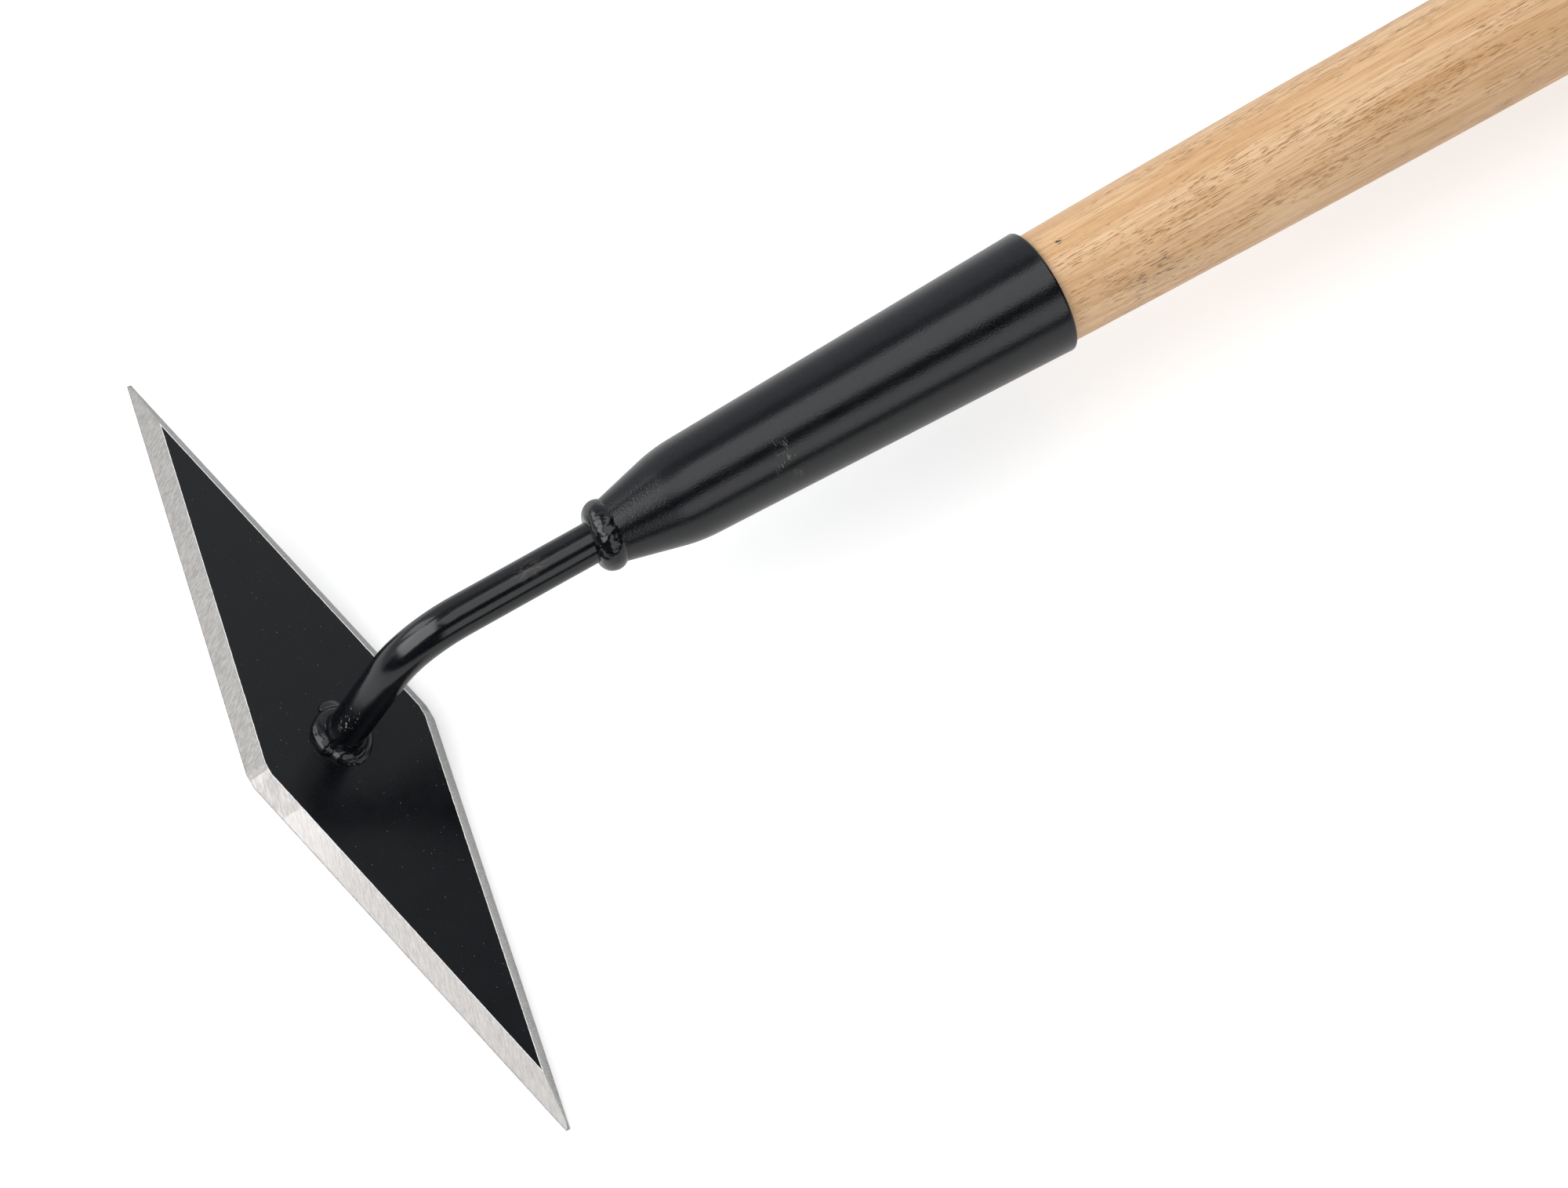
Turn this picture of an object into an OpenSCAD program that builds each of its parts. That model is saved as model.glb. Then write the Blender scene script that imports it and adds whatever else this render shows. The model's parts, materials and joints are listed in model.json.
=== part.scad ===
/* [Blade] */
// Length of the blade along its long diagonal, to the points where its sides would meet
blade_l = 254; // [200:1:320]
// Width of the blade along its short diagonal, to the points where its sides would meet
blade_w = 61; // [50:1:90]
// Thickness of the plate
blade_t = 4.4; // [3:0.1:6]
// Width of the ground bevel, seen square to the blade
bevel_w = 4.3; // [3:0.1:7]
// Height of the square land left under the bevel
edge_land = 0.3; // [0.1:0.1:1]
// Length of the flat ground across each wide corner
corner_flat = 4.6; // [2:0.1:10]
// Width of the flat ground across each point
tip_flat = 1.2; // [0.6:0.1:3]

/* [Neck] */
// Diameter of the round rod
neck_d = 11.5; // [9:0.5:14]
// Distance of the rod's foot from the blade's middle, along the long diagonal
foot_x = -1.3; // [-3:0.1:3]
// Distance of the rod's foot from the blade's middle, along the short diagonal
foot_y = -0.7; // [-3:0.1:3]
// Angle between the rod's foot and a line square to the blade
leg_tilt = 5; // [0:1:15]
// Length of the rod from the blade to the bend
leg_l = 34; // [28:1:60]
// Radius of the bend along the rod's axis
bend_r = 27; // [20:1:45]
// Angle that the rod turns through
bend_deg = 59; // [50:1:70]
// Length of the rod from the bend to the socket
neck_l = 44.7; // [35:0.1:80]
// Length of rod inside the socket's small end
neck_root = 12; // [8:1:16]

/* [Socket] */
// Length of the socket
socket_l = 139; // [120:1:170]
// Length of the steep cone at the small end
cone_l = 22; // [18:1:30]
// Outer diameter at the small end
small_d = 17.4; // [16.8:0.1:20]
// Outer diameter at the shoulder
shoulder_d = 28.4; // [26:0.2:32]
// Outer diameter at the mouth
mouth_d = 36.4; // [34:0.2:42]
// Thickness of the tube's wall
wall = 1.8; // [1.2:0.1:2.4]

/* [Handle] */
// Diameter of the handle's straight part
handle_d = 38; // [36:0.5:44]
// Length of the handle outside the socket
handle_l = 1267; // [900:1:1500]
// Length of the taper inside the socket
tenon_l = 105; // [80:1:110]
// Length over which the handle swells from the mouth to its full diameter
swell_l = 220; // [150:5:300]
// Radius of the rounding at the handle's free end
butt_round = 9; // [4:1:14]

/* [Fixing screw] */
// Distance from the socket's mouth to the screw
screw_from_mouth = 26; // [18:1:40]
// Diameter of the screw's head
head_d = 8; // [7:0.5:10]
// Height of the screw's domed head
head_h = 2.6; // [2:0.1:3.5]
// Diameter of the screw's shank
shank_d = 4.2; // [3.5:0.1:5]
// Length of the screw under its head
shank_l = 22; // [16:1:26]

/* [Hidden] */
$fn = 96;

// The tool is drawn around its blade: the painted face lies in the XY plane, the long
// diagonal runs along X, and the handle leans towards +Y. tool() then lays it down.

// Radial gap between parts that are pushed together
fit_gap = 0.1;
// Radius of the two weld beads' sections, and how far out their centres lie
blade_bead_r = 2.7;
blade_bead_out = 0.4;
socket_bead_r = 4;
socket_bead_out = -0.55;
// Distance from the socket's small end back to the middle of its weld bead
socket_bead_back = 1.2;
// Half the length of the socket's rounded shoulder, and the rounding of its lip
shoulder_blend = 4;
lip_round = 0.7;
// Length of the chamfer on the hidden end of the handle
tenon_chamfer = 2;
// How far the shank stands proud of the bend, which keeps their round edges apart
shank_step = 0.002;
// Extra reach of cutting blocks past what they cut
past = 1;

neck_r = neck_d / 2;
handle_r = handle_d / 2;
mouth_r = mouth_d / 2;
shoulder_r = shoulder_d / 2;
small_r = small_d / 2;
neck_bore_r = neck_r + fit_gap;
taper = (mouth_r - shoulder_r) / (socket_l - cone_l);
tenon_mouth_r = mouth_r - wall - fit_gap;

// Outline of the blade's cutting edge, anticlockwise from the +X point
tip_x = blade_l / 2 - tip_flat / 2 * blade_l / blade_w;
corner_y = blade_w / 2 - corner_flat / 2 * blade_w / blade_l;
half_outline = [
    [tip_x, -tip_flat / 2],
    [tip_x, tip_flat / 2],
    [corner_flat / 2, corner_y],
    [-corner_flat / 2, corner_y]
];
outline = concat(half_outline, [for (p = half_outline) -p]);
bevel_deg = atan2(blade_t - edge_land, bevel_w);

// Main points and directions of the rod and handle, around the blade
lean = leg_tilt + bend_deg;
bend_reach = bend_r * tan(bend_deg / 2);
leg_dir = [0, sin(leg_tilt), cos(leg_tilt)];
handle_dir = [0, sin(lean), cos(lean)];
foot = [foot_x, foot_y, 0];
bend_end = foot + leg_dir * (leg_l + bend_reach) + handle_dir * bend_reach;
butt_ring = bend_end + handle_dir * (neck_l + socket_l + handle_l - butt_round);

function unit(v) = v / norm(v);

// The tool lies on the edge between its +Y corner and its +X point, and on the handle's
// free end. floor_up() turns a plane about that edge until it touches the rounded end.
corner_edge = [0, blade_w / 2, -blade_t];
tip_edge = [blade_l / 2, 0, -blade_t];
edge_dir = unit(tip_edge - corner_edge);
face_up = [0, 0, 1];
edge_side = cross(edge_dir, face_up);
to_butt = butt_ring - corner_edge;
butt_side = to_butt * edge_side;
butt_rise = to_butt * face_up;

function end_reach(dir) = (handle_r - butt_round) * norm(cross(dir, handle_dir)) + butt_round;
function tilted(deg) = face_up * cos(deg) + edge_side * sin(deg);
function floor_tilt(reach) = atan2(butt_side, butt_rise) + acos(reach / norm([butt_side, butt_rise]));
function floor_up(turns, dir) =
    turns == 0 ? dir : floor_up(turns - 1, tilted(floor_tilt(end_reach(dir))));

// Row axes, given around the blade: X runs along the handle and Z is up
up = floor_up(6, face_up);
ahead = unit(handle_dir - up * (handle_dir * up));
side = cross(up, ahead);

// Middle of the laid-down tool's box, from the blade's edge and the handle's end
edge_points = [for (p = outline) [p[0], p[1], -blade_t]];
function lowest(dir) = min([for (p = edge_points) p * dir]);
function highest(dir) = max([for (p = edge_points) p * dir]);
mid_x = (lowest(ahead) + butt_ring * ahead + end_reach(ahead)) / 2;
mid_y = (lowest(side) + highest(side)) / 2;
floor_z = corner_edge * up;

module tool() {
    translate([-mid_x, -mid_y, -floor_z])
        multmatrix([
            [ahead[0], ahead[1], ahead[2], 0],
            [side[0], side[1], side[2], 0],
            [up[0], up[1], up[2], 0],
            [0, 0, 0, 1]
        ])
            children();
}

// Z runs up the rod's foot from the blade
module on_leg() {
    translate(foot)
        rotate([-leg_tilt, 0, 0])
            children();
}

// Z runs along the handle from the end of the bend
module on_handle_axis(along = 0) {
    on_leg()
        translate([0, bend_r, leg_l])
            rotate([-bend_deg, 0, 0])
                translate([0, -bend_r, along])
                    children();
}

// Removes everything above the bevel that rises inwards from one side of the outline
module bevel_cutter(from, to) {
    run = to - from;
    translate([from[0], from[1], edge_land - blade_t])
        rotate([0, 0, atan2(run[1], run[0])])
            rotate([bevel_deg, 0, 0])
                translate([-blade_l, -blade_w, 0])
                    cube([2 * blade_l + norm(run), 2 * blade_w, blade_w]);
}

module blade() {
    color("#26282b")
        tool()
            difference() {
                translate([0, 0, -blade_t])
                    linear_extrude(blade_t)
                        polygon(outline);
                for (i = [0 : len(outline) - 1])
                    bevel_cutter(outline[i], outline[(i + 1) % len(outline)]);
            }
}

// Block that fills the space behind the blade's painted face
module behind_face() {
    translate([-blade_l, -blade_l, -blade_l])
        cube([2 * blade_l, 2 * blade_l, blade_l]);
}

module rod_foot(length) {
    on_leg()
        translate([0, 0, -neck_r])
            cylinder(r = neck_r, h = length + neck_r);
}

module rod_bend() {
    on_leg()
        translate([0, bend_r, leg_l])
            rotate([90, 0, -90])
                rotate_extrude(angle = bend_deg)
                    translate([bend_r, 0])
                        circle(r = neck_r);
}

// The shank's seam is turned to meet the bend's
module rod_shank() {
    on_handle_axis()
        rotate([0, 0, -90])
            cylinder(r = neck_r + shank_step, h = neck_l + neck_root);
}

module neck_rod() {
    color("#1b1c1e")
        tool()
            difference() {
                union() {
                    rod_foot(leg_l);
                    rod_bend();
                    rod_shank();
                }
                behind_face();
            }
}

// Ring of weld metal round a rod of radius neck_r
module bead(radius, out) {
    rotate_extrude()
        intersection() {
            translate([neck_r + out, 0])
                circle(r = radius);
            translate([0, -2 * radius])
                square([neck_d + 4 * radius, 4 * radius]);
        }
}

module blade_weld() {
    color("#1b1c1e")
        tool()
            difference() {
                on_leg()
                    bead(blade_bead_r, blade_bead_out);
                rod_foot(leg_l / 2);
                behind_face();
            }
}

// Points of a smooth curve from a to c that is drawn towards b
function blend(a, b, c, steps) = [
    for (i = [0 : steps])
        let (t = i / steps)
            a * (1 - t) * (1 - t) + b * 2 * t * (1 - t) + c * t * t
];

// Outer line of the socket, as [radius, distance from the small end]
cone_slope = (shoulder_r - small_r) / cone_l;
socket_outer = concat(
    [[small_r, 0]],
    blend(
        [shoulder_r - shoulder_blend * cone_slope, cone_l - shoulder_blend],
        [shoulder_r, cone_l],
        [shoulder_r + shoulder_blend * taper, cone_l + shoulder_blend],
        6
    ),
    blend(
        [mouth_r - lip_round * taper, socket_l - lip_round],
        [mouth_r, socket_l],
        [mouth_r - lip_round, socket_l],
        4
    )
);
socket_inner = [
    [mouth_r - wall, socket_l],
    [shoulder_r - wall, cone_l],
    [neck_bore_r, neck_root + past],
    [neck_bore_r, 0]
];

module socket_shell() {
    rotate_extrude()
        polygon(concat(socket_outer, socket_inner));
}

// Z runs out of the screw's head, on the side of the socket that faces the blade
module at_screw() {
    along = neck_l + socket_l - screw_from_mouth;
    out = mouth_r - taper * screw_from_mouth;
    on_handle_axis(along)
        rotate([-90, 0, 0])
            translate([0, 0, out])
                children();
}

module socket() {
    color("#1f2023")
        tool()
            difference() {
                on_handle_axis(neck_l)
                    socket_shell();
                at_screw()
                    translate([0, 0, -2 * wall])
                        cylinder(r = shank_d / 2 + fit_gap, h = 4 * wall);
            }
}

module socket_weld() {
    color("#1b1c1e")
        tool()
            difference() {
                on_handle_axis(neck_l - socket_bead_back)
                    bead(socket_bead_r, socket_bead_out);
                rod_shank();
                on_handle_axis(neck_l)
                    cylinder(r1 = small_r, r2 = shoulder_r, h = cone_l);
            }
}

// Outer line of the handle, as [radius, distance from the socket's mouth]
function swell_r(at) = handle_r - (handle_r - tenon_mouth_r) * pow(1 - at / swell_l, 2);
swell_steps = 12;
end_steps = 8;
tenon_end_r = tenon_mouth_r - taper * tenon_l;
handle_line = concat(
    [
        [0, -tenon_l],
        [tenon_end_r - tenon_chamfer, -tenon_l],
        [tenon_end_r, tenon_chamfer - tenon_l]
    ],
    [for (i = [0 : swell_steps]) [swell_r(swell_l * i / swell_steps), swell_l * i / swell_steps]],
    [
        for (i = [0 : end_steps])
            let (turn = 90 * i / end_steps)
                [
                    handle_r - butt_round * (1 - cos(turn)),
                    handle_l - butt_round * (1 - sin(turn))
                ]
    ],
    [[0, handle_l]]
);

module handle() {
    color("#d9b382")
        tool()
            difference() {
                on_handle_axis(neck_l + socket_l)
                    rotate_extrude()
                        polygon(handle_line);
                at_screw()
                    translate([0, 0, -shank_l - past])
                        cylinder(r = shank_d / 2 + fit_gap, h = shank_l + past);
            }
}

// Cross-shaped driver recess in the top of the screw's head
module driver_cross() {
    recess_l = head_d * 0.55;
    recess_w = head_d * 0.14;
    for (turn = [0, 90])
        rotate([0, 0, turn])
            translate([-recess_l / 2, -recess_w / 2, head_h * 0.45])
                cube([recess_l, recess_w, head_h]);
}

// Domed head that sits on the socket, with a shank and a point below it
module socket_screw() {
    dome_r = (head_d * head_d / 4 + head_h * head_h) / (2 * head_h);
    point_l = shank_d;
    color("#8a8c8e")
        tool()
            at_screw()
                difference() {
                    union() {
                        intersection() {
                            translate([0, 0, head_h - dome_r])
                                sphere(r = dome_r);
                            cylinder(r = head_d, h = head_h + past);
                        }
                        translate([0, 0, point_l - shank_l])
                            cylinder(r = shank_d / 2, h = shank_l - point_l);
                        translate([0, 0, -shank_l])
                            cylinder(r1 = 0, r2 = shank_d / 2, h = point_l);
                    }
                    driver_cross();
                }
}

blade();
neck_rod();
blade_weld();
socket_weld();
socket();
handle();
socket_screw();
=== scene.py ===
"""Looks of a long-handled hoe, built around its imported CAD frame.

Lengths are in metres, except that the driving sizes are written in millimetres and multiplied by MM.
Each piece is drawn in axes of its own, and a matrix that comes from the frame's mounts lays it in place.
Its material looks it up in those same axes.
"""

import json
from math import cos, hypot, pi, radians, sin, tan

import bpy
import numpy as np
from mathutils import Matrix, Vector, noise


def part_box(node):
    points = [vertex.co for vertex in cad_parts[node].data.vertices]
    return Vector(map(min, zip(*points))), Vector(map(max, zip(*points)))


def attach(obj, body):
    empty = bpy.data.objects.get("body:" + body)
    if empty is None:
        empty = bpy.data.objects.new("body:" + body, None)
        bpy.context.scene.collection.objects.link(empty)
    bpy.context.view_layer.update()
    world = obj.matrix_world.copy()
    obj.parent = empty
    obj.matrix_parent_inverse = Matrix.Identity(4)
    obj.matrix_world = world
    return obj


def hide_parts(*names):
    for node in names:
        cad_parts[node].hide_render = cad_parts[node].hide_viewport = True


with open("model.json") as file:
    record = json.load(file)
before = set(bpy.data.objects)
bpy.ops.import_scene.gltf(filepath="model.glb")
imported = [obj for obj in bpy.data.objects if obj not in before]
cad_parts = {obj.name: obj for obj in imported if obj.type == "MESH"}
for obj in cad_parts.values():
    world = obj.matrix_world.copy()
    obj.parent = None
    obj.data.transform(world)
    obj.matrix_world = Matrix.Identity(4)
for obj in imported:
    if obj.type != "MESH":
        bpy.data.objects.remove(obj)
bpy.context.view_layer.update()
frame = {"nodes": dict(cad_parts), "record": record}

MM = 0.001

# Driving sizes of the hoe
BLADE_L = 254 * MM
BLADE_W = 61 * MM
BLADE_T = 4.4 * MM
BEVEL_W = 4.3 * MM
EDGE_LAND = 0.3 * MM
CORNER_FLAT = 4.6 * MM
TIP_FLAT = 1.2 * MM
ROD_R = 5.75 * MM
FOOT = Vector((-1.3 * MM, -0.7 * MM, 0))
LEG_TILT = radians(5)
LEG_L = 34 * MM
BEND_R = 27 * MM
BEND = radians(59)
SHANK_L = 44.7 * MM
SHANK_ROOT = 12 * MM
SOCKET_L = 139 * MM
CONE_L = 22 * MM
SMALL_R = 8.7 * MM
SHOULDER_R = 14.2 * MM
MOUTH_R = 18.2 * MM
WALL = 1.8 * MM
HANDLE_R = 19 * MM
HANDLE_L = 1267 * MM
TENON_L = 105 * MM
SWELL_L = 220 * MM
BUTT_ROUND = 9 * MM
FIT_GAP = 0.1 * MM


# ---------------------------------------------------------------- places

def tool_place(mounts):
    """The tool's own axes: X along the blade, Y towards the handle, Z out of the painted face."""
    face_up = -Vector(mounts["blade_back"]["axis"])
    along = Vector(mounts["handle_grip"]["axis"]).cross(face_up).normalized()
    across = face_up.cross(along)
    middle = Vector(mounts["blade_back"]["pos_m"]) + face_up * BLADE_T
    place = Matrix((along, across, face_up)).transposed().to_4x4()
    place.translation = middle
    return place


def leg_place():
    """Z runs up the rod's foot from the blade."""
    return TOOL @ Matrix.Translation(FOOT) @ Matrix.Rotation(-LEG_TILT, 4, "X")


def handle_place(along=0.0):
    """Z runs along the handle from the end of the rod's bend."""
    turn = Matrix.Rotation(-BEND, 4, "X")
    centre = leg_place() @ Matrix.Translation((0, BEND_R, LEG_L))
    return centre @ turn @ Matrix.Translation((0, -BEND_R, along))


TOOL = tool_place({m["name"]: m for m in frame["record"]["mounts"]})


# ---------------------------------------------------------------- meshes

def rough(point, scale, seed=0.0):
    """Smooth noise from -1 to 1 whose lumps are about scale wide."""
    return noise.noise(Vector(point) / scale + Vector((seed, 3.1 * seed, 7.7 * seed)))


def piece(name, points, faces, place, node, sharp=30):
    """A mesh that is laid in place, stands for a CAD node and rides on the frame."""
    mesh = bpy.data.meshes.new(name)
    mesh.from_pydata([tuple(place @ Vector(p)) for p in points], [], faces)
    mesh.update()
    for face in mesh.polygons:
        face.use_smooth = True
    mesh.set_sharp_from_angle(angle=radians(sharp))
    made = bpy.data.objects.new(name, mesh)
    bpy.context.scene.collection.objects.link(made)
    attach(made, "root")
    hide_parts(node)
    return made


def ring_faces(rings, count, closed, first=0):
    """Quads between rings of count points. A closed skin's last ring joins its first."""
    faces = []
    for r in range(rings if closed else rings - 1):
        a, b = first + r * count, first + (r + 1) % rings * count
        for i in range(count):
            j = (i + 1) % count
            faces.append((a + i, a + j, b + j, b + i))
    return faces


def skin(rings, closed=False):
    """Points and faces of a skin over rings, with a fan over each end unless it joins itself."""
    count = len(rings[0])
    points = [p for ring in rings for p in ring]
    faces = ring_faces(len(rings), count, closed)
    if not closed:
        for ring, start, turned in ((rings[0], 0, True), (rings[-1], (len(rings) - 1) * count, False)):
            hub = len(points)
            points.append(sum((Vector(p) for p in ring), Vector()) / count)
            for i in range(count):
                j = (i + 1) % count
                faces.append((start + j, start + i, hub) if turned else (start + i, start + j, hub))
    return points, faces


def circle(radius, z, count):
    """A ring round Z."""
    turns = [2 * pi * i / count for i in range(count)]
    return [Vector((radius * cos(a), radius * sin(a), z)) for a in turns]


def curve_to(a, b, c, steps):
    """Points of a smooth curve from a to c that is drawn towards b."""
    made = []
    for i in range(steps + 1):
        t = i / steps
        made.append(tuple(p * (1 - t) ** 2 + q * 2 * t * (1 - t) + r * t * t for p, q, r in zip(a, b, c)))
    return made


# ---------------------------------------------------------------- materials

class Looks:
    """One material, with short names for the shader nodes in use. place is its piece's axes."""

    def __init__(self, name, place=Matrix()):
        self.back = place.inverted()
        self.material = bpy.data.materials.new(name)
        self.material.use_nodes = True
        self.tree = self.material.node_tree
        self.shader = self.tree.nodes["Principled BSDF"]

    def node(self, kind, **settings):
        made = self.tree.nodes.new(kind)
        for key, value in settings.items():
            setattr(made, key, value)
        return made

    def link(self, value, socket):
        """Sets a socket to a number, a colour or another node's output."""
        if isinstance(value, bpy.types.NodeSocket):
            self.tree.links.new(value, socket)
        elif isinstance(value, tuple) and socket.type == "RGBA":
            socket.default_value = (*value, 1)
        else:
            socket.default_value = value

    def set(self, **inputs):
        """Sets the shader's inputs by name, with _ for each space."""
        for key, value in inputs.items():
            self.link(value, self.shader.inputs[key.replace("_", " ")])

    def own(self):
        """Coordinates in the piece's own axes."""
        back = self.node("ShaderNodeMapping")
        self.link(self.node("ShaderNodeTexCoord").outputs["Object"], back.inputs["Vector"])
        self.link(tuple(self.back.translation), back.inputs["Location"])
        self.link(tuple(self.back.to_euler()), back.inputs["Rotation"])
        return back.outputs[0]

    def coords(self, stretch=(1, 1, 1), turn=(0, 0, 0)):
        """The piece's own coordinates, turned and then multiplied by stretch."""
        turned = self.node("ShaderNodeVectorRotate", rotation_type="EULER_XYZ")
        self.link(self.own(), turned.inputs["Vector"])
        self.link(turn, turned.inputs["Rotation"])
        return self.stretched(turned.outputs[0], stretch)

    def stretched(self, vector, stretch):
        scaled = self.node("ShaderNodeVectorMath", operation="MULTIPLY")
        self.link(vector, scaled.inputs[0])
        self.link(stretch, scaled.inputs[1])
        return scaled.outputs[0]

    def part(self, axis):
        """One of the piece's own coordinates: X, Y or Z."""
        parts = self.node("ShaderNodeSeparateXYZ")
        self.link(self.own(), parts.inputs[0])
        return parts.outputs[axis]

    def noise(self, vector, scale=1.0, detail=2.0, roughness=0.5, distortion=0.0):
        """Soft noise about 0.5."""
        made = self.node("ShaderNodeTexNoise")
        self.link(vector, made.inputs["Vector"])
        self.link(scale, made.inputs["Scale"])
        self.link(detail, made.inputs["Detail"])
        self.link(roughness, made.inputs["Roughness"])
        self.link(distortion, made.inputs["Distortion"])
        return made.outputs["Fac"]

    def cells(self, vector, scale):
        """Rounded cells, whose Distance output is 0 in the middle of each."""
        made = self.node("ShaderNodeTexVoronoi")
        self.link(vector, made.inputs["Vector"])
        self.link(scale, made.inputs["Scale"])
        return made

    def between(self, value, low, high, to_low=0.0, to_high=1.0):
        """Value's stretch from low to high, mapped smoothly to to_low and to_high."""
        made = self.node("ShaderNodeMapRange", interpolation_type="SMOOTHSTEP")
        for socket, number in zip(made.inputs, (value, low, high, to_low, to_high)):
            self.link(number, socket)
        return made.outputs[0]

    def math(self, operation, a, b=0.0):
        made = self.node("ShaderNodeMath", operation=operation)
        self.link(a, made.inputs[0])
        self.link(b, made.inputs[1])
        return made.outputs[0]

    def times(self, a, b):
        return self.math("MULTIPLY", a, b)

    def mix(self, share, a, b):
        made = self.node("ShaderNodeMix", data_type="RGBA")
        self.link(share, made.inputs["Factor"])
        self.link(a, made.inputs[6])
        self.link(b, made.inputs[7])
        return made.outputs[2]

    def bump(self, height, distance, under=None):
        """A normal for relief of height times distance, laid over another bump where under is given."""
        made = self.node("ShaderNodeBump")
        self.link(distance, made.inputs["Distance"])
        self.link(height, made.inputs["Height"])
        if under is not None:
            self.link(under, made.inputs["Normal"])
        return made.outputs[0]

    def near(self, spot, reach, stretch=(1, 1, 1)):
        """1 at a spot of the piece, falling to 0 at a distance of reach."""
        away = self.node("ShaderNodeVectorMath", operation="SUBTRACT")
        self.link(self.own(), away.inputs[0])
        self.link(tuple(spot), away.inputs[1])
        scaled = self.stretched(away.outputs[0], stretch)
        length = self.node("ShaderNodeVectorMath", operation="LENGTH")
        self.link(scaled, length.inputs[0])
        return self.between(length.outputs["Value"], reach * 0.35, reach, 1.0, 0.0)


PAINT_BLACK = (0.0010, 0.0018, 0.0030)
PAINT_GREY = (0.0030, 0.0042, 0.0058)
PAINT_GRAIN = (0.008, 0.009, 0.011)
PAINT_IOR = 1.5
DUST_GREY = (0.42, 0.42, 0.42)
MOTTLES_PER_M = 90
GRAINS_PER_M = 2600
SPECKS_PER_M = 620


def paint_base(looks, gloss, peel, peel_size, dust):
    """Black paint with grain, orange peel and specks of dust. Returns its bump and its roughness."""
    mottle = looks.noise(looks.coords(), MOTTLES_PER_M, 4, 0.6)
    grain = looks.noise(looks.coords(), GRAINS_PER_M, 1)
    tone = looks.math("ADD", looks.times(mottle, 0.4), looks.times(grain, 0.6))
    colour = looks.mix(looks.between(tone, 0.35, 0.65), PAINT_BLACK, PAINT_GREY)
    colour = looks.mix(looks.between(grain, 0.52, 0.7), colour, PAINT_GRAIN)
    specks = looks.cells(looks.coords(), SPECKS_PER_M)
    spot = looks.between(specks.outputs["Distance"], 0.03, 0.1, 1.0, 0.0)
    chosen = looks.between(specks.outputs["Color"], 0.4, 0.7, 0.0, dust)
    looks.set(Base_Color=looks.mix(looks.times(spot, chosen), colour, DUST_GREY))
    wavy = looks.noise(looks.coords(), 1 / peel_size, 2, 0.5)
    return looks.bump(wavy, peel), looks.between(mottle, 0.3, 0.7, gloss - 0.015, gloss + 0.02)


def wear(looks, mask, shade):
    """Lays a worn shade over the base colour where mask is 1."""
    under = looks.shader.inputs["Base Color"].links[0].from_socket
    looks.set(Base_Color=looks.mix(mask, under, shade))


def blade_paint():
    """Satin black paint with dust and a few hair scratches."""
    looks = Looks("blade_paint", TOOL)
    bump, gloss = paint_base(looks, 0.2, 0.01 * MM, 0.9 * MM, 0.5)
    hair = looks.noise(looks.coords((900, 60, 60), (0, 0, 0.9)), 1, 1, 0.4, 0.6)
    hair_mask = looks.between(looks.math("ABSOLUTE", looks.math("SUBTRACT", hair, 0.5)), 0.0, 0.004, 1.0, 0.0)
    rare = looks.between(looks.noise(looks.coords(), 45, 1), 0.62, 0.7)
    scratch = looks.times(hair_mask, looks.times(rare, 0.4))
    wear(looks, scratch, (0.05, 0.05, 0.05))
    looks.set(Roughness=gloss, IOR=PAINT_IOR, Normal=bump)
    return looks.material


def neck_paint(chips, scuff, nick):
    """Semi-gloss black paint: flakes off above the weld, a rubbed patch on the shank, a nick in the bend."""
    looks = Looks("neck_paint", leg_place())
    bump, gloss = paint_base(looks, 0.17, 0.015 * MM, 1.4 * MM, 0.1)
    flakes = looks.between(looks.noise(looks.coords((1300, 1000, 650), (0.3, 0.7, 0.5)), 1, 1), 0.6, 0.66)
    chip = looks.times(looks.near(chips, 6 * MM, (2.2, 1, 0.8)), flakes)
    nicked = looks.times(looks.near(nick, 1.3 * MM), flakes)
    bare = looks.math("MAXIMUM", chip, nicked)
    wear(looks, bare, (0.2, 0.2, 0.175))
    rubbing = looks.between(looks.noise(looks.coords((1300, 1300, 420), (0.9, 0, 0)), 1, 3, 0.7), 0.46, 0.6)
    rub = looks.times(looks.near(scuff, 7 * MM, (2, 1, 1)), rubbing)
    wear(looks, looks.times(rub, 0.6), (0.06, 0.052, 0.045))
    looks.set(Roughness=gloss, IOR=PAINT_IOR, Normal=looks.bump(bare, 0.08 * MM, bump))
    return looks.material


def weld_paint(place):
    """Glossy paint that has run thin over the tops of a weld."""
    looks = Looks("weld_paint", place)
    bump, gloss = paint_base(looks, 0.14, 0.03 * MM, 0.7 * MM, 0.1)
    thin = looks.between(looks.noise(looks.coords(), 700, 3, 0.6), 0.6, 0.72)
    wear(looks, looks.times(thin, 0.35), (0.07, 0.07, 0.068))
    looks.set(Roughness=gloss, IOR=PAINT_IOR, Normal=bump)
    return looks.material


def socket_coat(scuff):
    """Satin powder coat with an orange peel and one spot that is scratched across the tube."""
    looks = Looks("socket_coat", handle_place(SHANK_L))
    bump, gloss = paint_base(looks, 0.19, 0.05 * MM, 0.45 * MM, 0.06)
    lines = looks.noise(looks.coords((160, 160, 2200), (0.1, 0.12, 0)), 1, 2)
    from_middle = looks.math("ABSOLUTE", looks.math("SUBTRACT", lines, 0.5))
    line_mask = looks.between(from_middle, 0.004, 0.02, 1.0, 0.0)
    broken = looks.between(looks.noise(looks.coords(), 420, 1), 0.48, 0.58)
    scratched = looks.near(scuff, 11 * MM, (1, 1, 2.2))
    scratch = looks.times(scratched, looks.times(line_mask, broken))
    wear(looks, scratch, (0.22, 0.2, 0.18))
    looks.set(Roughness=gloss, IOR=PAINT_IOR, Normal=bump)
    return looks.material


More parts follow.
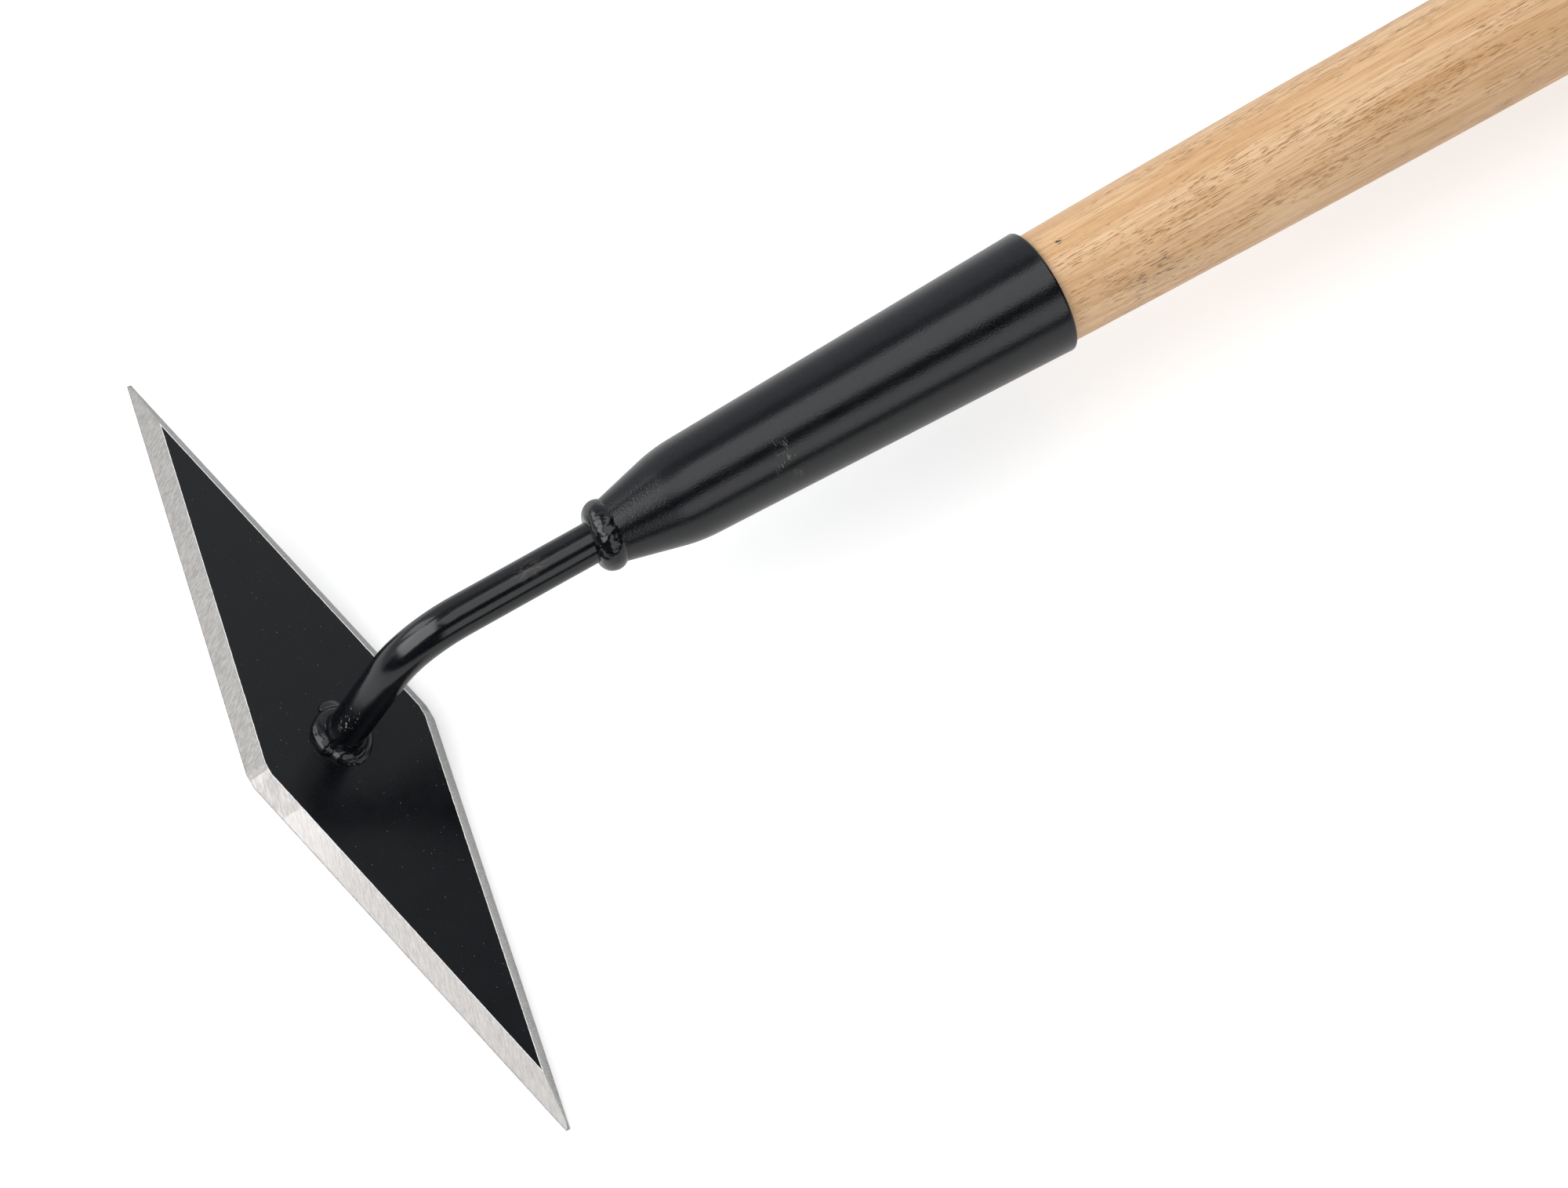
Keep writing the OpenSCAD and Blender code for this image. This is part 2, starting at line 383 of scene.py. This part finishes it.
def ground_steel_painted_light(name, grain_turn, tone, satin, stop=None):
    """Bare steel ground with a coarse belt, whose scratches lie at grain_turn to the blade's length. Its tone
    is painted light and painted shade: each bevel's steel is set lighter or darker by how its facet faces the
    lamps.

    Where a stop is given, the steel is smeared up to that distance along the blade and bright just beyond it.
    """
    looks = Looks(name, TOOL)
    turn = (0, 0, -grain_turn)
    coarse = looks.noise(looks.coords((140, 2600, 900), turn), 1, 3, 0.65)
    fine = looks.noise(looks.coords((400, 9000, 3000), turn), 1, 2, 0.6)
    patches = looks.noise(looks.coords(), 160, 2, 0.5)
    pits = looks.cells(looks.coords(), 330).outputs["Distance"]
    pitted = looks.between(looks.noise(looks.coords(), 300, 1), 0.66, 0.7)
    pit = looks.times(looks.between(pits, 0.04, 0.09, 1.0, 0.0), pitted)
    # The given tone is the facet's painted light or painted shade, not a different steel
    dark = tuple(0.72 * t for t in tone)
    light = tuple(1.18 * t for t in tone)
    grain = looks.mix(looks.between(coarse, 0.3, 0.7), dark, light)
    steel = looks.mix(looks.between(patches, 0.35, 0.7, 0.0, 0.35), grain, tone)
    if stop is not None:
        along = looks.part("X")
        ragged = looks.times(looks.noise(looks.coords(), 500, 2), 1.6 * MM)
        smears = looks.noise(looks.coords((120, 420, 1), (0, 0, 0.5)), 1, 2)
        smeared = looks.between(smears, 0.4, 0.62, 0.0, 0.3)
        before = looks.mix(smeared, steel, tuple(0.55 * t for t in tone))
        polish = looks.between(along, stop, stop + 34 * MM, 0.5, 0.0)
        polished = looks.mix(polish, tuple(0.86 * t for t in tone), tuple(1.7 * t for t in tone))
        past_stop = looks.between(looks.math("ADD", along, ragged), stop + 0.6 * MM, stop + 1.2 * MM)
        steel = looks.mix(past_stop, before, looks.mix(0.5, steel, polished))
    looks.set(Base_Color=looks.mix(pit, steel, (0.08, 0.065, 0.05)))
    depth = looks.math("ADD", coarse, looks.times(fine, 0.4))
    looks.set(Metallic=1.0, Roughness=looks.between(fine, 0.2, 0.8, satin - 0.08, satin + 0.08))
    looks.set(Normal=looks.bump(depth, 0.06 * MM))
    return looks.material


def burr_painted_highlight():
    """The thread of torn steel along the paint, with its glint as a painted highlight: a near-white colour
    without metal, bright from every side.
    """
    looks = Looks("burr_painted_highlight", TOOL)
    broken = looks.noise(looks.coords(), 900, 2)
    # Near-white colour without metal: the burr's glint painted in as a painted highlight
    looks.set(Base_Color=looks.mix(looks.between(broken, 0.25, 0.5), (0.6, 0.58, 0.56), (0.97, 0.96, 0.95)))
    looks.set(Roughness=looks.between(broken, 0.3, 0.7, 0.3, 0.5))
    looks.set(Normal=looks.bump(broken, 0.08 * MM))
    return looks.material


def edge_steel():
    """The dull sheared land under the bevel, with the even bites that the shears left."""
    looks = Looks("edge_steel", TOOL)
    bite_w = 0.75 * MM
    tear = looks.noise(looks.coords((1900, 1900, 300)), 1, 1)
    bite = looks.math("SINE", looks.times(looks.part("X"), 2 * pi / bite_w))
    bitten = looks.math("ADD", looks.between(bite, -0.2, 0.8, -0.12, 0.12), tear)
    dark = looks.between(bitten, 0.42, 0.6)
    looks.set(Base_Color=looks.mix(dark, (0.36, 0.34, 0.32), (0.05, 0.042, 0.036)))
    looks.set(Metallic=1.0, Roughness=looks.between(tear, 0.3, 0.7, 0.45, 0.65))
    looks.set(Normal=looks.bump(bitten, 0.1 * MM))
    return looks.material


def handle_wood(stain, fleck):
    """Pale hardwood under satin varnish: soft bands, brown pores and a stained patch near the socket."""
    looks = Looks("handle_wood", handle_place(SHANK_L + SOCKET_L))
    bands = looks.noise(looks.coords((150, 150, 9)), 1, 3, 0.6, 0.6)
    silk = looks.noise(looks.coords((1700, 1700, 34)), 1, 3, 0.6)
    pale = looks.mix(looks.between(bands, 0.3, 0.7), (0.655, 0.39, 0.19), (0.8, 0.54, 0.31))
    wood = looks.mix(looks.between(silk, 0.38, 0.7, 0.0, 0.6), pale, (0.53, 0.27, 0.1))
    cross = looks.noise(looks.coords((260, 260, 1400)), 1, 1)
    wood = looks.mix(looks.between(cross, 0.35, 0.7, 0.0, 0.1), wood, (0.76, 0.52, 0.31))
    clusters = looks.noise(looks.coords((130, 130, 20)), 1, 2, 0.5)
    pores = looks.noise(looks.coords((3300, 3300, 210), (0.02, 0.015, 0)), 1, 1.5, 0.55, 0.35)
    cut = looks.math("SUBTRACT", pores, looks.between(clusters, 0.35, 0.68, 0.09, -0.05))
    pore = looks.between(cut, 0.59, 0.68)
    long_pores = looks.noise(looks.coords((2000, 2000, 42), (-0.01, 0.012, 0.4)), 1, 2, 0.5, 0.5)
    long_pore = looks.between(long_pores, 0.62, 0.69)
    dark = looks.math("MAXIMUM", pore, looks.times(long_pore, 0.7))
    stained = looks.near(stain, 10 * MM, (1.3, 1.3, 0.8))
    deep = looks.mix(stained, (0.36, 0.165, 0.055), (0.07, 0.055, 0.04))
    wood = looks.mix(looks.times(stained, 0.15), wood, (0.4, 0.28, 0.16))
    wood = looks.mix(looks.times(dark, 0.85), wood, deep)
    spotted = looks.between(looks.noise(looks.coords((2400, 2400, 700)), 1, 1), 0.5, 0.58)
    speck = looks.times(looks.near(fleck, 1.4 * MM), spotted)
    looks.set(Base_Color=looks.mix(speck, wood, (0.012, 0.03, 0.02)))
    looks.set(Roughness=looks.between(silk, 0.3, 0.8, 0.4, 0.52), IOR=1.45)
    looks.set(Coat_Weight=0.25, Coat_Roughness=0.28)
    looks.set(Normal=looks.bump(looks.math("SUBTRACT", looks.times(silk, 0.3), dark), 0.05 * MM))
    return looks.material


def screw_zinc():
    """Zinc plate with fine turning marks and a little grime."""
    looks = Looks("screw_zinc")
    turned = looks.noise(looks.coords(), 3000, 2)
    grime = looks.noise(looks.coords(), 500, 3, 0.6)
    grimy = looks.between(grime, 0.45, 0.7, 0.0, 0.6)
    looks.set(Base_Color=looks.mix(grimy, (0.62, 0.62, 0.64), (0.3, 0.28, 0.26)))
    looks.set(Metallic=1.0, Roughness=looks.between(turned, 0.3, 0.7, 0.25, 0.42))
    looks.set(Normal=looks.bump(turned, 0.03 * MM))
    return looks.material


# ---------------------------------------------------------------- blade

HALF_L = BLADE_L / 2
HALF_W = BLADE_W / 2
HYP = hypot(HALF_L, HALF_W)
SIDE_STEPS = 300
CORNER_STEPS = 10
TIP_STEPS = 4
BEVEL_STEPS = 8
BURR_W = 0.22 * MM
BURR_H = 0.05 * MM
BURR_WOBBLE = 0.12 * MM


def quarter(inset):
    """The outline's first quarter, inset evenly: from the point's flat to the corner's flat."""
    reach = HALF_L * HALF_W - inset * HYP
    tip_x = HALF_L - TIP_FLAT / 2 * HALF_L / HALF_W - inset
    tip_y = (reach - HALF_W * tip_x) / HALF_L
    if tip_y < 0:
        tip_x, tip_y = reach / HALF_W, 0.0
    corner_y = HALF_W - CORNER_FLAT / 2 * HALF_W / HALF_L - inset
    corner_x = (reach - HALF_L * corner_y) / HALF_W
    return tip_x, tip_y, corner_x, corner_y


def outline(inset, z, wobble=0.0):
    """A ring of the blade, anticlockwise from the +X point, inset from its cutting edge."""
    tip_x, tip_y, corner_x, corner_y = quarter(inset)
    ends = []
    for turn in (1, -1):
        ends += [
            ((turn * tip_x, turn * tip_y), (turn * corner_x, turn * corner_y), SIDE_STEPS),
            ((turn * corner_x, turn * corner_y), (-turn * corner_x, turn * corner_y), CORNER_STEPS),
            ((-turn * corner_x, turn * corner_y), (-turn * tip_x, turn * tip_y), SIDE_STEPS),
            ((-turn * tip_x, turn * tip_y), (-turn * tip_x, -turn * tip_y), TIP_STEPS),
        ]
    ring = []
    for start, stop, steps in ends:
        for i in range(steps):
            t = i / steps
            at = Vector((start[0] + (stop[0] - start[0]) * t, start[1] + (stop[1] - start[1]) * t, z))
            drift = wobble * rough(at, 1.6 * MM, 4)
            ring.append(at * (1 - drift / max(at.length, HALF_W)))
    return ring


def blade():
    """The plate with its ground bevels, the burr along the paint, and the land under the bevels."""
    rings = [outline(0, -BLADE_T), outline(0, EDGE_LAND - BLADE_T)]
    for i in range(1, BEVEL_STEPS + 1):
        inset = BEVEL_W * i / BEVEL_STEPS
        z = (EDGE_LAND - BLADE_T) * (1 - i / BEVEL_STEPS)
        waviness = 0.05 * MM * sin(pi * i / BEVEL_STEPS)
        ring = outline(inset, z, BURR_WOBBLE if i == BEVEL_STEPS else 0.0)
        rings.append([p + Vector((0, 0, waviness * rough(p, 7 * MM))) for p in ring])
    rings.append(outline(BEVEL_W + BURR_W / 2, BURR_H, BURR_WOBBLE))
    rings.append(outline(BEVEL_W + BURR_W, 0, BURR_WOBBLE))
    paint_from = len(rings) - 1
    edge = rings[-1]
    for share in (0.96, 0.85, 0.65, 0.4, 0.15):
        rings.append([Vector((p.x * share, p.y * share, 0)) for p in edge])
    under = [[Vector((p.x * share, p.y * share, -BLADE_T)) for p in rings[0]] for share in (0.15, 0.5, 0.9)]
    points, faces = skin(under + rings)
    made = piece("blade_plate", points, faces, TOOL, "blade", 12)
    # One ground steel on all four bevels: the grain turns and the grind stop are real, while the different
    # tones are painted light and painted shade for how each facet faces the lamps
    bevels = [
        ground_steel_painted_light("bevel_front_right_painted_light", radians(75), (0.58, 0.573, 0.566), 0.45),
        ground_steel_painted_light("bevel_front_left_painted_light", radians(105), (0.4, 0.395, 0.39), 0.45),
        ground_steel_painted_light("bevel_back_right_painted_light", radians(-8), (0.43, 0.415, 0.405), 0.5, 13.5 * MM),
        ground_steel_painted_light("bevel_back_left_painted_light", radians(-53), (0.3, 0.29, 0.28), 0.5),
    ]
    for material in (blade_paint(), *bevels, burr_painted_highlight(), edge_steel()):
        made.data.materials.append(material)
    finish_blade(made, len(rings[0]), len(under), paint_from)
    return made


def finish_blade(made, count, first_edge, paint_from):
    """Gives the land, the bevels and the burr their materials by ring. All other faces stay painted."""
    first_bevel, burr, land = 1, 5, 6
    for face in made.data.polygons:
        ring = face.index // count - first_edge
        middle = TOOL.inverted() @ face.center
        if ring == 0:
            face.material_index = land
        elif 1 <= ring < 1 + BEVEL_STEPS:
            face.material_index = first_bevel + (middle.x < 0) + 2 * (middle.y < 0)
        elif 1 + BEVEL_STEPS <= ring < paint_from:
            face.material_index = burr


# ---------------------------------------------------------------- neck and welds

LEG_STEPS = 14
BEND_STEPS = 32
SHANK_STEPS = 16
SHANK_AHEAD = Vector((0, sin(BEND), cos(BEND)))
SHANK_UP = Vector((0, -cos(BEND), sin(BEND)))


def bend_point(turn, radius=BEND_R):
    """A point in the leg's axes at a turn round the bend's centre."""
    return Vector((0, BEND_R - radius * cos(turn), LEG_L + radius * sin(turn)))


def rod_line():
    """The rod's centre line in the leg's axes, as (point, direction of travel)."""
    made = [(Vector((0, 0, LEG_L * i / LEG_STEPS)), 0.0) for i in range(LEG_STEPS + 1)]
    made += [(bend_point(BEND * i / BEND_STEPS), BEND * i / BEND_STEPS) for i in range(1, BEND_STEPS + 1)]
    step = SHANK_AHEAD * (SHANK_L + SHANK_ROOT) / SHANK_STEPS
    made += [(bend_point(BEND) + step * i, BEND) for i in range(1, SHANK_STEPS + 1)]
    return made


def neck_rod():
    """The bent rod. Its foot is cut flat on the blade's face."""
    count = 72
    rings = []
    for middle, turn in rod_line():
        across = Vector((0, cos(turn), -sin(turn)))
        ring = []
        for i in range(count):
            a = 2 * pi * i / count
            out = Vector((cos(a), 0, 0)) + across * sin(a)
            at = middle + out * ROD_R
            ring.append(at + out * 0.03 * MM * rough(at, 9 * MM, 2))
        rings.append(ring)
    rings[0] = [Vector((p.x, p.y, p.y * tan(LEG_TILT))) for p in rings[0]]
    rings[1] = [Vector((p.x, p.y, max(p.z, p.y * tan(LEG_TILT) + 1 * MM))) for p in rings[1]]
    points, faces = skin(rings)
    made = piece("neck_bar", points, faces, leg_place(), "neck_rod")
    chips = Vector((1.6 * MM, -5.5 * MM, 14.5 * MM))
    scuff = bend_point(BEND) + SHANK_AHEAD * 21 * MM + SHANK_UP * ROD_R
    nick = bend_point(radians(41), BEND_R + ROD_R)
    made.data.materials.append(neck_paint(chips, scuff, nick))
    return made


# About the radius of a bead's section, which turns its tilt into a length for the noises
BEAD_SCALE = 2.5 * MM
# How far a bead's inside may lie under the surface of the rod
BEAD_SINK = 0.3 * MM


def bead(core_r, shape):
    """A ring of weld metal round Z. shape(turn, tilt) gives its distance from Z and its height."""
    count = 320
    section = 48
    inner = core_r - BEAD_SINK
    rings = []
    for i in range(count):
        turn = 2 * pi * i / count - pi
        ring = []
        for j in range(section):
            away, up = shape(turn, 2 * pi * j / section - pi)
            away = max(away, inner)
            ring.append(Vector((away * cos(turn), away * sin(turn), up)))
        rings.append(ring)
    return skin(rings, closed=True)


def swell(turn, centre, width):
    """A smooth bump round the ring at centre, both in radians."""
    gap = (turn - centre + pi) % (2 * pi) - pi
    return np.exp(-(gap / width) ** 2)


def dome(turn, centre, width):
    """A round lobe at centre that ends at width to each side, both in radians."""
    gap = (turn - centre + pi) % (2 * pi) - pi
    return max(0.0, 1 - (gap / width) ** 2) ** 0.5


def streaks(turn, tilt, length, width, slant, seed):
    """Noise from -1 to 1 drawn out along a bead, like the ripples that a weld pool leaves."""
    along = turn * ROD_R
    across = tilt * BEAD_SCALE
    at = Vector(((along + slant * across) / length, (across - slant * along) / width, seed))
    return noise.noise(at)


def blade_weld():
    """The bead round the rod's foot, rippled where it was dragged, with a notch and two spills."""
    middle_r = ROD_R + 0.5 * MM
    body_r = 2.7 * MM
    drag_turns = (radians(-108), radians(-12))
    notch_turn = radians(-56)
    wide_spill_turn, small_spill_turn = radians(172), radians(10)
    spill_tilt = 0.42
    above_paint = 0.01 * MM

    def shape(turn, tilt):
        dragged = min(1.0, sum(swell(turn, at, 0.5) for at in drag_turns))
        rippled = 0.5 * MM * streaks(turn, tilt, 4.2 * MM, 0.55 * MM, 0.35, 3) * dragged
        rippled += 0.12 * MM * streaks(turn, tilt, 2.0 * MM, 0.3 * MM, 0.2, 7) * dragged
        notch = 1.1 * MM * swell(turn, notch_turn, 0.22)
        size = body_r + rippled - notch + 0.1 * MM * rough((cos(turn), sin(turn), tilt), 0.8, 5)
        low = max(0.0, 1 - (tilt / spill_tilt) ** 2) ** 0.5 if tilt > 0 else 1.0
        spill = 2.4 * MM * dome(turn, wide_spill_turn, 0.4) + 0.5 * MM * swell(turn, small_spill_turn, 0.4)
        return middle_r + size * cos(tilt) + low * spill, size * sin(tilt)

    points, faces = bead(ROD_R, shape)
    points = [Vector((p.x, p.y, max(p.z, p.y * tan(LEG_TILT) + above_paint))) for p in points]
    made = piece("foot_weld", points, faces, leg_place(), "blade_weld", 60)
    made.data.materials.append(weld_paint(leg_place()))
    return made


def socket_weld():
    """The fat bead that joins the rod to the socket: smooth at its sides, pitted along its crown on top."""
    body_r = 4.3 * MM
    crown_turn = radians(-75)
    lean_turn = radians(-160)
    place = handle_place(SHANK_L - 0.3 * MM)

    def shape(turn, tilt):
        pitted = swell(turn, crown_turn, 0.8) * swell(tilt, 0.0, 1.1)
        at = (turn * ROD_R, tilt * BEAD_SCALE, 0)
        pits = 0.5 * MM * rough(at, 1.5 * MM, 1) + 0.16 * MM * rough(at, 0.5 * MM, 2)
        ripple = 0.06 * MM * rough(at, 1.2 * MM, 5)
        swollen = 0.25 * MM * rough((cos(turn), sin(turn), 0), 0.9, 3)
        size = body_r + pits * pitted + ripple * (1 - pitted) + swollen
        lean = 0.8 * MM * cos(turn - lean_turn)
        return ROD_R + size * cos(tilt), size * sin(tilt) + lean

    points, faces = bead(ROD_R, shape)
    made = piece("socket_bead", points, faces, place, "socket_weld", 60)
    made.data.materials.append(weld_paint(place))
    return made


# ---------------------------------------------------------------- socket, handle and screw

SOCKET_TAPER = (MOUTH_R - SHOULDER_R) / (SOCKET_L - CONE_L)


def socket():
    """The swaged tube: steep cone, soft shoulder, gentle taper and rounded lip, hollow inside."""
    steep = (SHOULDER_R - SMALL_R) / CONE_L
    soft = 5 * MM
    lip = WALL / 2
    outer = [(SMALL_R, 0), (SHOULDER_R - steep * soft * 2, CONE_L - soft * 2)]
    outer += curve_to((SHOULDER_R - steep * soft, CONE_L - soft), (SHOULDER_R, CONE_L),
                      (SHOULDER_R + SOCKET_TAPER * soft, CONE_L + soft), 10)
    for share in (0.1, 0.3, 0.5, 0.7, 0.9, 0.97):
        along = (SOCKET_L - CONE_L) * share
        outer.append((SHOULDER_R + SOCKET_TAPER * along, CONE_L + along))
    rim = [(MOUTH_R - lip + lip * cos(a), SOCKET_L - lip + lip * sin(a)) for a in np.linspace(0, pi, 11)]
    inner = [(SHOULDER_R - WALL, CONE_L), (ROD_R + FIT_GAP, SHANK_ROOT + MM), (ROD_R + FIT_GAP, 0)]
    rings = [circle(radius, z, 144) for radius, z in outer + rim + inner]
    points, faces = skin(rings, closed=True)
    made = piece("socket_tube", points, faces, handle_place(SHANK_L), "socket", 40)
    scuff = Vector((11 * MM, -10.4 * MM, 50.5 * MM))
    made.data.materials.append(socket_coat(scuff))
    return made


def handle():
    """The turned handle, from its tenon inside the socket to its rounded free end."""
    tenon_r = MOUTH_R - WALL - FIT_GAP
    end_r = tenon_r - SOCKET_TAPER * TENON_L
    chamfer = 2 * MM
    line = [(end_r - chamfer, -TENON_L), (end_r, chamfer - TENON_L)]
    for i in range(41):
        at = SWELL_L * i / 40
        line.append((HANDLE_R - (HANDLE_R - tenon_r) * (1 - at / SWELL_L) ** 2, at))
    line += [(HANDLE_R, SWELL_L + (HANDLE_L - BUTT_ROUND - SWELL_L) * i / 20) for i in range(1, 20)]
    for a in np.linspace(0, pi / 2, 13):
        line.append((HANDLE_R - BUTT_ROUND * (1 - cos(a)), HANDLE_L - BUTT_ROUND * (1 - sin(a))))
    points, faces = skin([circle(radius, z, 128) for radius, z in line])
    made = piece("handle_shaft", points, faces, handle_place(SHANK_L + SOCKET_L), "handle", 40)
    stain = Vector((15 * MM, -8 * MM, 28 * MM))
    fleck = Vector((-5.1 * MM, -15.7 * MM, 6.8 * MM))
    made.data.materials.append(handle_wood(stain, fleck))
    return made


def dress_screw():
    """The screw's CAD shape is right, so it only gets its finish."""
    screw = frame["nodes"]["socket_screw"]
    screw.data.materials.clear()
    screw.data.materials.append(screw_zinc())


# ---------------------------------------------------------------- studio

def floor():
    """A pale sheet that glows a little, which keeps its shadows light.

    To the camera it glows more away from the hoe, and towards the handle's free end, where it is dim.
    """
    left, near, right, far = -3, -0.62, 3, 3
    table_glow, backdrop_glow, free_end_glow = 0.38, 0.8, 0.45
    hoe_reach = 0.6
    mesh = bpy.data.meshes.new("floor")
    mesh.from_pydata([(left, near, 0), (right, near, 0), (right, far, 0), (left, far, 0)], [], [(0, 1, 2, 3)])
    made = bpy.data.objects.new("floor", mesh)
    bpy.context.scene.collection.objects.link(made)
    looks = Looks("floor_white")
    looks.set(Base_Color=(0.765, 0.76, 0.755), Roughness=0.6, Emission_Color=(1.0, 1.0, 1.0))
    ray = looks.node("ShaderNodeLightPath").outputs
    beyond_ends = looks.math("SUBTRACT", looks.math("ABSOLUTE", looks.part("X")), hoe_reach)
    away = looks.math("MAXIMUM", looks.math("ABSOLUTE", looks.part("Y")), beyond_ends)
    free_end = looks.between(looks.part("X"), -0.25, 1.0, 0.0, free_end_glow)
    backdrop = looks.math("ADD", looks.between(away, 0.38, 0.6, 0.0, backdrop_glow), free_end)
    seen = looks.times(backdrop, ray["Is Camera Ray"])
    table = looks.between(ray["Is Glossy Ray"], 0, 1, table_glow, 0.0)
    looks.set(Emission_Strength=looks.math("ADD", table, seen))
    mesh.materials.append(looks.material)


def softbox(name, zenith_deg, azimuth_deg, away, width_deg, height_deg, spin_deg, radiance, target):
    """A square light that faces the target from a direction, sized by the angles that it fills."""
    z, a = radians(zenith_deg), radians(azimuth_deg)
    direction = Vector((sin(z) * cos(a), sin(z) * sin(a), cos(z)))
    light = bpy.data.lights.new(name, "AREA")
    light.shape = "RECTANGLE"
    light.size = 2 * away * tan(radians(width_deg) / 2)
    light.size_y = 2 * away * tan(radians(height_deg) / 2)
    light.energy = radiance * pi * light.size * light.size_y
    made = bpy.data.objects.new(name, light)
    bpy.context.scene.collection.objects.link(made)
    made.location = target + direction * away
    facing = direction.to_track_quat("Z", "Y").to_matrix().to_4x4()
    made.rotation_euler = (facing @ Matrix.Rotation(radians(spin_deg), 4, "Z")).to_euler()


def studio(target):
    """The softboxes round the table, set where the photo's highlights on the rod and socket point to.

    Each line gives zenith, azimuth, distance, width, height, spin and radiance.
    """
    softbox("light_left", 42, 174, 2.2, 57, 45, 0, 3.4, target)
    softbox("light_top", 14, -6, 2.4, 41, 60, 22, 1.65, target)
    softbox("light_back", 59, 120, 1.4, 20, 30, 0, 2.2, target)
    softbox("light_front", 65.5, 282, 1.2, 50, 31, 0, 1.35, target)


def room():
    """A dark room whose far side is lit below its ceiling. The camera sees white past the floor."""
    world = bpy.data.worlds.new("room")
    world.use_nodes = True
    bpy.context.scene.world = world
    nodes, links = world.node_tree.nodes, world.node_tree.links
    coords = nodes.new("ShaderNodeTexCoord")
    parts = nodes.new("ShaderNodeSeparateXYZ")
    links.new(coords.outputs["Generated"], parts.inputs[0])
    both = nodes.new("ShaderNodeMath")
    both.operation = "MULTIPLY"
    # Each ramp is two values of the direction's Y or Z, then the strengths there
    far_side = (0.05, 0.35, 0.04, 0.6)
    ceiling = (0.6, 0.8, 1.0, 0.4)
    for i, (axis, numbers) in enumerate((("Y", far_side), ("Z", ceiling))):
        ramp = nodes.new("ShaderNodeMapRange")
        ramp.interpolation_type = "SMOOTHSTEP"
        for socket, number in zip(ramp.inputs[1:5], numbers):
            socket.default_value = number
        links.new(parts.outputs[axis], ramp.inputs["Value"])
        links.new(ramp.outputs[0], both.inputs[i])
    around = nodes["Background"]
    links.new(both.outputs[0], around.inputs["Strength"])
    around.inputs["Color"].default_value = (0.95, 1, 1.05, 1)
    paper = nodes.new("ShaderNodeBackground")
    paper.inputs["Color"].default_value = (1, 1, 1, 1)
    seen = nodes.new("ShaderNodeLightPath")
    choice = nodes.new("ShaderNodeMixShader")
    links.new(seen.outputs["Is Camera Ray"], choice.inputs[0])
    links.new(around.outputs[0], choice.inputs[1])
    links.new(paper.outputs[0], choice.inputs[2])
    links.new(choice.outputs[0], nodes["World Output"].inputs["Surface"])


def camera():
    """A 90 mm lens about a metre above the blade. Its place was fitted to the hoe's outline in the photo."""
    data = bpy.data.cameras.new("camera")
    data.lens = 90
    data.sensor_width = 36
    made = bpy.data.objects.new("camera", data)
    bpy.context.scene.collection.objects.link(made)
    made.location = (-0.77567, -0.43451, 1.01182)
    made.rotation_euler = (radians(23.5742), radians(3.7768), radians(-31.0724))
    bpy.context.scene.camera = made


blade()
neck_rod()
blade_weld()
socket_weld()
socket()
handle()
dress_screw()
floor()
low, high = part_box("blade")
neck_ahead_of_blade = 60 * MM
neck_height = 50 * MM
studio(Vector(((low.x + high.x) / 2 + neck_ahead_of_blade, 0, neck_height)))
room()
camera()
bpy.context.scene.view_settings.view_transform = "Standard"
